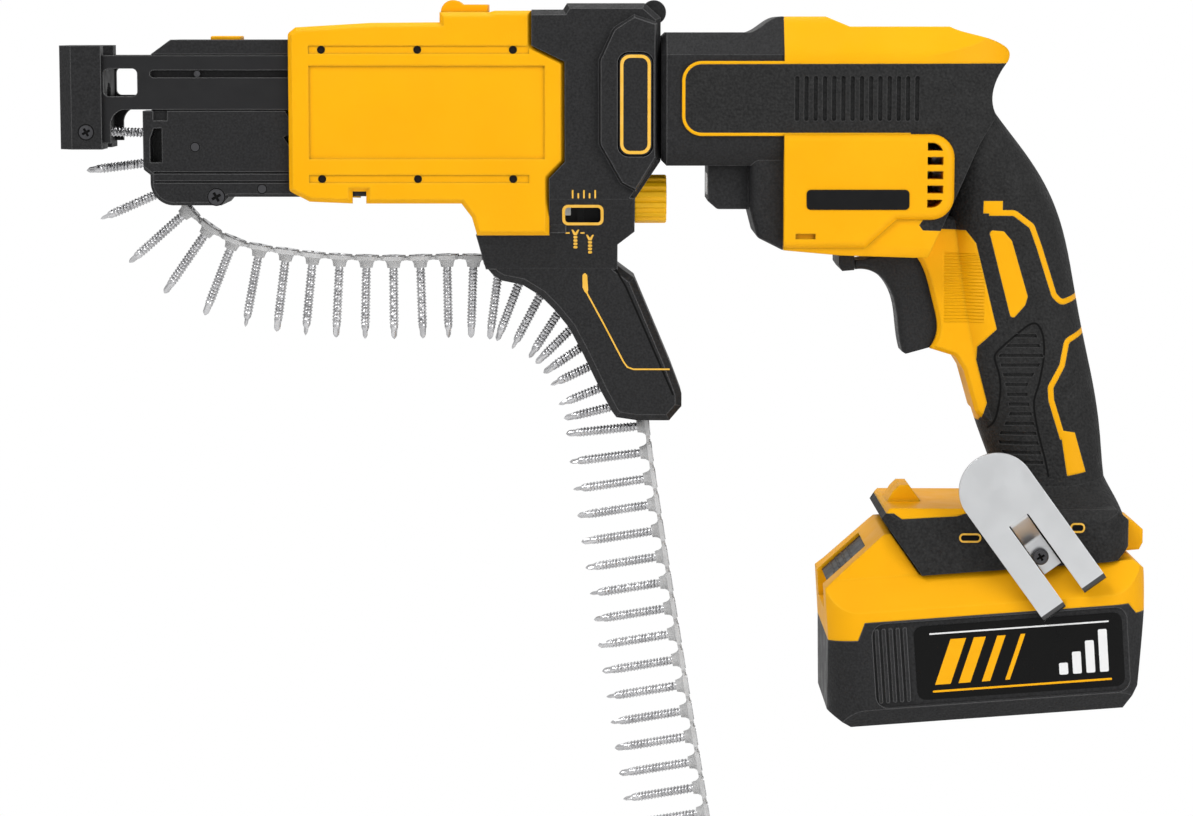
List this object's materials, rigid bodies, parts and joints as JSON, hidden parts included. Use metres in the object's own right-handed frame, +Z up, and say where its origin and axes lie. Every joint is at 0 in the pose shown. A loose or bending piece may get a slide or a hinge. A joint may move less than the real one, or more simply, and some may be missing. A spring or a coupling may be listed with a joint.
{
  "type": "cordless collated screw driver",
  "caption": "Cordless pistol-grip driver for collated drywall screws, with a sliding strip feeder, spring-loaded nose, depth wheel, slide-on battery pack and steel belt hook.",
  "frame": {"origin": "middle of the hand grip, on the mid plane where the palm closes", "axes": "+X to the rear along the drive axis, with the nose towards -X; +Z up; -Y is the side seen in the picture"},
  "size_m": [0.419, 0.0811, 0.3571],
  "materials": {
    "yellow_plastic": "fine-grained moulded nylon, warm yellow",
    "black_plastic": "fine-grained moulded nylon, black",
    "soft_skin": "moulded-on soft rubber, matt",
    "dark_steel": "blackened steel",
    "bright_steel": "plated steel",
    "strip_band": "grey flexible plastic",
    "strip_screws": "grey phosphated steel",
    "cast_alloy": "cast alloy",
    "stator_iron": "stacked iron sheets",
    "inner_plastic": "moulded plastic, unseen",
    "board": "circuit board",
    "cell_wrap": "wrapped steel cells",
    "lens": "clear plastic"
  },
  "bodies": {
    "frame": {"housing_left": "yellow_plastic", "housing_right": "yellow_plastic", "grip_left": "soft_skin", "grip_right": "soft_skin", "housing_screws": "dark_steel", "gear_case": "black_plastic", "lamp_lens": "lens", "belt_hook": "bright_steel", "belt_hook_screw": "dark_steel", "stator": "stator_iron", "rotor_bearings": "bright_steel", "bearing_plate": "cast_alloy", "spindle_bearings": "bright_steel", "switch_module": "inner_plastic", "control_board": "board", "contact_block": "inner_plastic", "chassis_left": "black_plastic", "chassis_right": "black_plastic", "cover_left": "yellow_plastic", "cover_right": "yellow_plastic", "cover_screws": "dark_steel", "return_spring": "bright_steel", "strip_band_run": "strip_band", "strip_screws_run": "strip_screws", "strip_band_tail": "strip_band", "strip_screws_tail": "strip_screws"},
    "drive": {"spindle": "bright_steel", "drive_gear": "bright_steel", "driver_bit": "bright_steel"},
    "armature": {"rotor": "bright_steel", "fan": "inner_plastic", "pinion": "bright_steel"},
    "trigger": {"trigger": "black_plastic"},
    "reverse": {"reverse_button": "black_plastic"},
    "depth_wheel": {"depth_knob": "yellow_plastic"},
    "depth_slider": {"depth_pointer": "inner_plastic"},
    "release_near": {"release_left": "black_plastic"},
    "release_far": {"release_right": "black_plastic"},
    "feeder": {"feeder_left": "black_plastic", "feeder_right": "black_plastic", "feeder_pins": "bright_steel", "feeder_screws": "dark_steel", "feed_wheel": "black_plastic", "strip_band_front": "strip_band", "strip_screws_front": "strip_screws"},
    "lever": {"feed_lever": "dark_steel"},
    "nose": {"nose_plate_left": "dark_steel", "nose_plate_right": "dark_steel", "nose_cap": "black_plastic", "nose_screws": "dark_steel"},
    "nose_key": {"nose_button": "yellow_plastic"},
    "pack": {"battery_lid": "yellow_plastic", "battery_tray": "black_plastic", "battery_cells": "cell_wrap"},
    "pack_latch": {"battery_latch": "black_plastic"}
  },
  "joints": [
    {"name": "spindle_spin", "type": "hinge", "parent": "frame", "child": "drive", "pos_m": [-0.15, 0, 0.0955], "axis": [1, 0, 0], "continuous": true},
    {"name": "rotor_spin", "type": "hinge", "parent": "frame", "child": "armature", "pos_m": [-0.07, 0, 0.0755], "axis": [1, 0, 0], "continuous": true},
    {"name": "trigger_squeeze", "type": "slide", "parent": "frame", "child": "trigger", "axis": [1, 0, 0], "range_m": [0, 0.0065], "stiffness_N_per_m": 800, "springref_m": -0.004},
    {"name": "reverse_push", "type": "slide", "parent": "frame", "child": "reverse", "axis": [0, 1, 0], "range_m": [-0.003, 0.003]},
    {"name": "depth_turn", "type": "hinge", "parent": "frame", "child": "depth_wheel", "pos_m": [-0.143, 0, 0.056], "axis": [1, 0, 0], "range_deg": [-360, 360]},
    {"name": "depth_shift", "type": "slide", "parent": "frame", "child": "depth_slider", "axis": [1, 0, 0], "range_m": [-0.004, 0.004]},
    {"name": "feeder_slide", "type": "slide", "parent": "frame", "child": "feeder", "axis": [1, 0, 0], "range_m": [0, 0.045], "stiffness_N_per_m": 350, "springref_m": -0.03, "deforming": ["return_spring", "strip_band_run", "strip_screws_run"]},
    {"name": "lever_swing", "type": "hinge", "parent": "feeder", "child": "lever", "pos_m": [-0.3181, -0.0095, 0.0767], "axis": [0, -1, 0], "range_deg": [0, 24]},
    {"name": "nose_reach", "type": "slide", "parent": "feeder", "child": "nose", "axis": [1, 0, 0], "range_m": [-0.02, 0.008]},
    {"name": "nose_key_press", "type": "slide", "parent": "feeder", "child": "nose_key", "axis": [0, 0, -1], "range_m": [0, 0.0013], "stiffness_N_per_m": 400, "springref_m": -0.002},
    {"name": "release_near_press", "type": "slide", "parent": "frame", "child": "release_near", "axis": [0, 1, 0], "range_m": [0, 0.0025], "stiffness_N_per_m": 500, "springref_m": -0.002},
    {"name": "release_far_press", "type": "slide", "parent": "frame", "child": "release_far", "axis": [0, -1, 0], "range_m": [0, 0.0025], "stiffness_N_per_m": 500, "springref_m": -0.002},
    {"name": "pack_slide", "type": "slide", "parent": "frame", "child": "pack", "axis": [-0.9973, 0, -0.0732], "range_m": [0, 0.038]},
    {"name": "latch_press", "type": "slide", "parent": "pack", "child": "pack_latch", "axis": [0.6717, 0, -0.7408], "range_m": [0, 0.003], "stiffness_N_per_m": 500, "springref_m": -0.002}
  ],
  "couplings": [
    {"joint": "rotor_spin", "follows": "spindle_spin", "ratio": -4},
    {"joint": "depth_turn", "follows": "depth_shift", "rad_per_m": 1570.7},
    {"joint": "lever_swing", "follows": "feeder_slide", "rad_per_m": 9.3}
  ]
}
